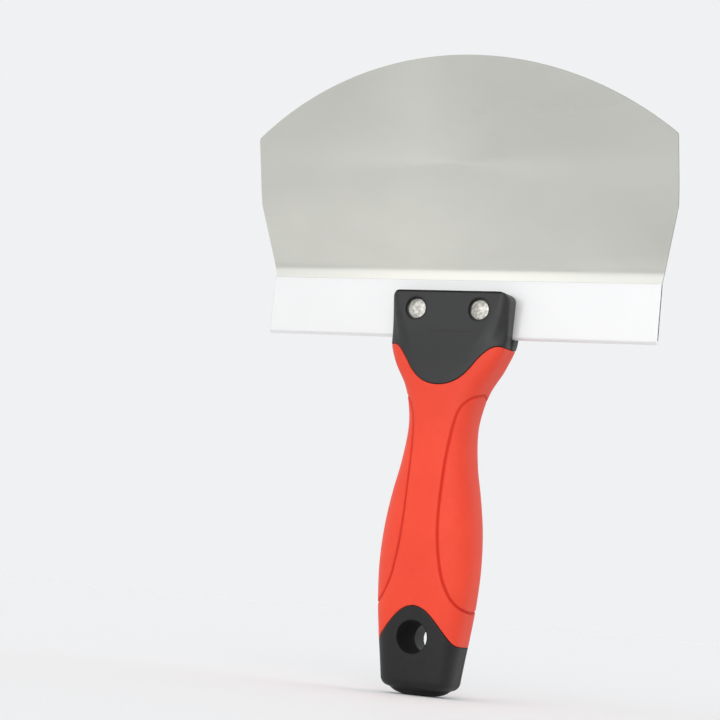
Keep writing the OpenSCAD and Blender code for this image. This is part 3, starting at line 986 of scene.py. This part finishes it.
def build_stage():
    """A wide pale table: deep behind and to the sides, its front edge nearer than the camera's far side."""
    bm = bmesh.new()
    xs = [-9, -5, -3, -2, -1.4, -1, -0.6, -0.3, 0, 0.3, 0.6, 1, 1.4, 2, 3, 5, 9]
    ys = [-0.85, -0.6, -0.4, -0.2, 0, 0.3, 0.7, 1.2, 2, 3, 5, 9, 16, 30]
    rows = [[bm.verts.new((x * (1 + max(y, 0) / 4), y, 0)) for x in xs] for y in ys]
    for A, B in zip(rows[:-1], rows[1:]):
        for j in range(len(xs) - 1):
            bm.faces.new((A[j], A[j + 1], B[j + 1], B[j]))
    me = bpy.data.meshes.new("floor")
    bm.to_mesh(me)
    bm.free()
    ob = bpy.data.objects.new("floor", me)
    scene.collection.objects.link(ob)
    mat = bpy.data.materials.new("floor_white")
    mat.use_nodes = True
    p = mat.node_tree.nodes["Principled BSDF"]
    p.inputs["Base Color"].default_value = (FLOOR, FLOOR, FLOOR, 1)
    p.inputs["Roughness"].default_value = 0.7
    p.inputs["Specular IOR Level"].default_value = 0.2
    me.materials.append(mat)
    return ob


build_stage()

world = bpy.data.worlds.new("studio")
scene.world = world
world.use_nodes = True
wt = world.node_tree
bg = wt.nodes["Background"]
geo = wt.nodes.new("ShaderNodeTexCoord").outputs["Generated"]


def sky_node(kind, **props):
    n = wt.nodes.new(kind)
    for k, v in props.items():
        setattr(n, k, v)
    return n


def sky_math(op, a, b=None):
    n = sky_node("ShaderNodeMath", operation=op)
    for i, v in enumerate((a, b)):
        if v is None:
            continue
        if isinstance(v, (int, float)):
            n.inputs[i].default_value = v
        else:
            wt.links.new(v, n.inputs[i])
    return n.outputs[0]


def panel(az, el, half_w, half_h, soft, gain):
    """A soft far-off light panel: azimuth from -Y towards -X, elevation, half sizes and edge in degrees."""
    a, e = math.radians(az), math.radians(el)
    fwd = Vector((-math.sin(a) * math.cos(e), -math.cos(a) * math.cos(e), math.sin(e)))
    side = Vector((math.cos(a), -math.sin(a), 0))
    up = side.cross(fwd)
    if up.z < 0:
        up = -up
    out = None
    for axis, half in ((side, half_w), (up, half_h)):
        d = sky_node("ShaderNodeVectorMath", operation="DOT_PRODUCT")
        wt.links.new(geo, d.inputs[0])
        d.inputs[1].default_value = axis
        m = sky_node("ShaderNodeMapRange", interpolation_type="SMOOTHERSTEP")
        wt.links.new(sky_math("ABSOLUTE", d.outputs["Value"]), m.inputs["Value"])
        m.inputs["From Min"].default_value = math.sin(math.radians(max(half - soft, 0)))
        m.inputs["From Max"].default_value = math.sin(math.radians(min(half + soft, 88)))
        m.inputs["To Min"].default_value = 1
        m.inputs["To Max"].default_value = 0
        out = m.outputs["Result"] if out is None else sky_math("MULTIPLY", out, m.outputs["Result"])
    d = sky_node("ShaderNodeVectorMath", operation="DOT_PRODUCT")
    wt.links.new(geo, d.inputs[0])
    d.inputs[1].default_value = fwd
    front = sky_math("GREATER_THAN", d.outputs["Value"], 0.0)
    return sky_math("MULTIPLY", sky_math("MULTIPLY", out, front), gain)


sep = sky_node("ShaderNodeSeparateXYZ")
wt.links.new(geo, sep.inputs[0])
base = sky_node("ShaderNodeMapRange")
base.inputs["From Min"].default_value = 0.30
base.inputs["From Max"].default_value = 0.85
base.inputs["To Min"].default_value = SKY_LOW
base.inputs["To Max"].default_value = SKY_HIGH
wt.links.new(sep.outputs["Z"], base.inputs["Value"])
total = base.outputs["Result"]
for args in PANELS:
    total = sky_math("ADD", total, panel(*args))
wt.links.new(total, bg.inputs["Strength"])
bg.inputs["Color"].default_value = (0.993, 1.0, 1.012, 1)

sun_data = bpy.data.lights.new("overhead", "SUN")
sun_data.energy = SUN
sun_data.angle = math.radians(50)
sun = bpy.data.objects.new("overhead", sun_data)
scene.collection.objects.link(sun)
sun.rotation_euler = (-Vector(SUN_FROM)).to_track_quat("-Z", "Y").to_euler()

# camera: from in front and to the right, close to the floor
yaw, pitch, roll = 0.482, -0.110, 0.095
ca, sa, cb, sb, cc, sc = math.cos(yaw), math.sin(yaw), math.cos(pitch), math.sin(pitch), math.cos(roll), math.sin(roll)
Ry = np.array([[ca, 0, sa], [0, 1, 0], [-sa, 0, ca]])
Rx = np.array([[1, 0, 0], [0, cb, -sb], [0, sb, cb]])
Rz = np.array([[cc, -sc, 0], [sc, cc, 0], [0, 0, 1]])
R = Rz @ Rx @ Ry @ np.array([[1, 0, 0], [0, 0, -1], [0, 1, 0.0]])
T = np.array([39.546, 36.214, 841.794])
C = -R.T @ T + np.array([0, 21.335, 86.861 + PAD_H])
cam = bpy.data.cameras.new("camera")
cam.sensor_width = 36
cam.lens = 2240.94 / 720 * 36
cam.clip_start = 0.05
cam.clip_end = 100
co = bpy.data.objects.new("camera", cam)
scene.collection.objects.link(co)
co.matrix_world = Matrix((
    (R[0][0], -R[1][0], -R[2][0], C[0] * MM),
    (R[0][1], -R[1][1], -R[2][1], C[1] * MM),
    (R[0][2], -R[1][2], -R[2][2], C[2] * MM),
    (0, 0, 0, 1)))
scene.camera = co
scene.view_settings.view_transform = "Standard"
scene.view_settings.look = "None"
scene.view_settings.exposure = 0
scene.view_settings.gamma = 1
